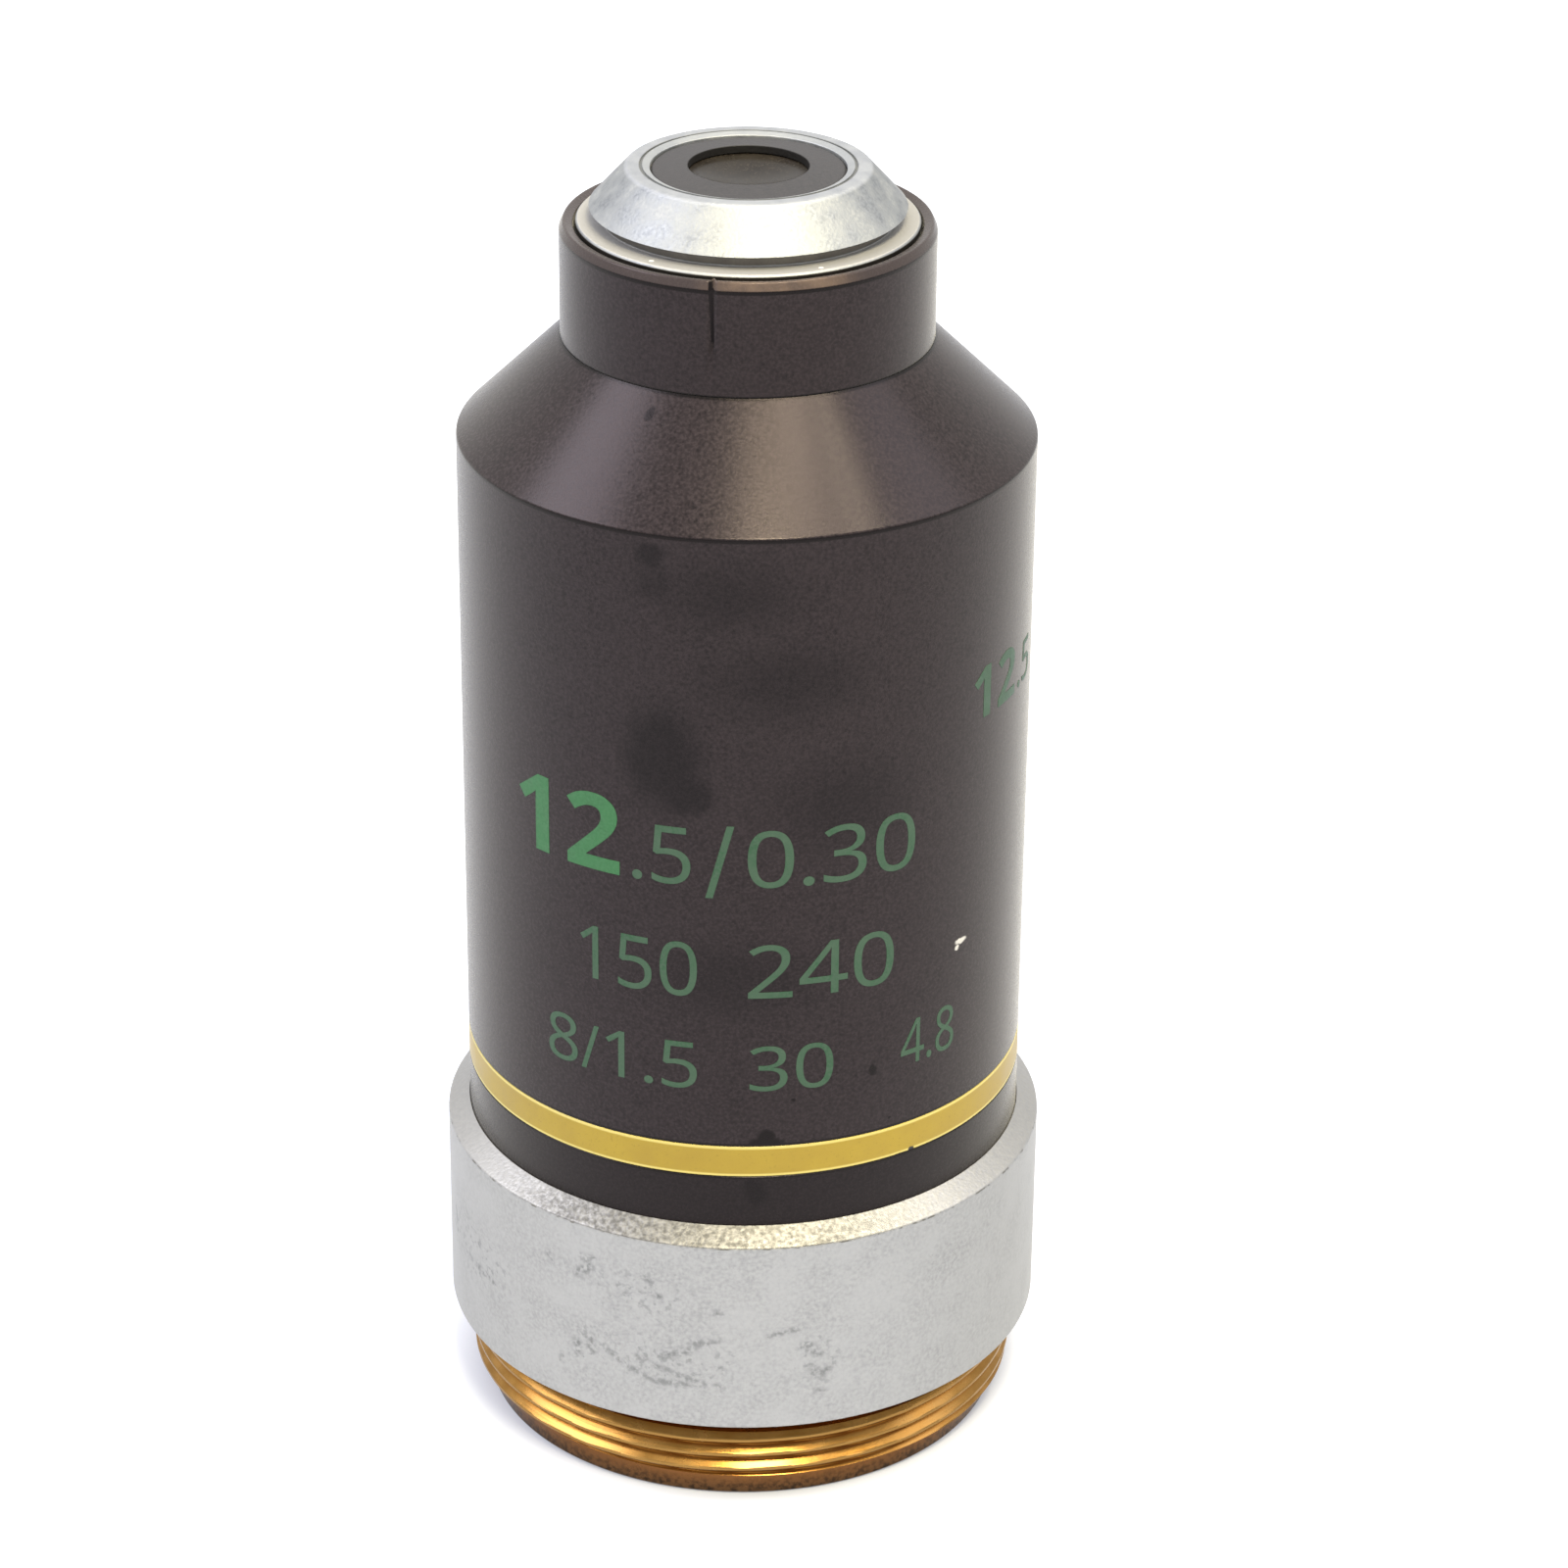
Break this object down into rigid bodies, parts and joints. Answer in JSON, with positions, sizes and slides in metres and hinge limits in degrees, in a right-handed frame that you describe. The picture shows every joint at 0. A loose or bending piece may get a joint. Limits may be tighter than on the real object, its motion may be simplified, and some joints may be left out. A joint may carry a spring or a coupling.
{
  "type": "microscope objective",
  "caption": "Low-power phase-contrast microscope objective: black barrel with a conical shoulder, yellow band, metal collar, brass mount thread and bright nose cap.",
  "frame": {"origin": "centre of the mounting shoulder, on the optical axis; it lies inside the rear recess, whose mount gives it", "axes": "+Z along the optical axis towards the nose; X and Y are free, -Y faces the viewer of the picture"},
  "size_m": [0.027, 0.027, 0.0587],
  "materials": {
    "brass": "turned brass, lacquered by use, dark in the grooves",
    "satin_chrome": "satin chrome plate on turned metal",
    "bright_chrome": "fine satin chrome plate",
    "black_anodised": "satin black anodised, worn",
    "black_cell": "matt black anodised",
    "yellow_enamel": "enamel, satin",
    "glass": "polished, coated",
    "steel": "plain set screws",
    "green_ink": "printed ink, satin; for figures on the barrel, no node uses it"
  },
  "bodies": {
    "root": {"mount_body": "brass", "mount_collar": "satin_chrome", "outer_barrel": "black_anodised", "colour_band": "yellow_enamel", "front_sleeve": "black_anodised", "nose_cap": "bright_chrome", "front_lens_cell": "black_cell", "front_lens": "glass", "front_lens_ring": "black_cell", "lens_tube": "brass", "parfocal_shim": "brass", "front_doublet_flint": "glass", "front_doublet_crown": "glass", "front_doublet_cell": "brass", "front_group_ring": "black_cell", "rear_doublet_crown": "glass", "rear_doublet_flint": "glass", "rear_doublet_cell": "brass", "train_spacer": "black_cell", "phase_plate": "glass", "phase_plate_cell": "brass", "phase_plate_ring": "black_cell", "centring_screws": "steel", "rear_spacer": "black_cell", "train_ring": "black_cell", "rear_baffle": "black_cell"}
  },
  "joints": []
}
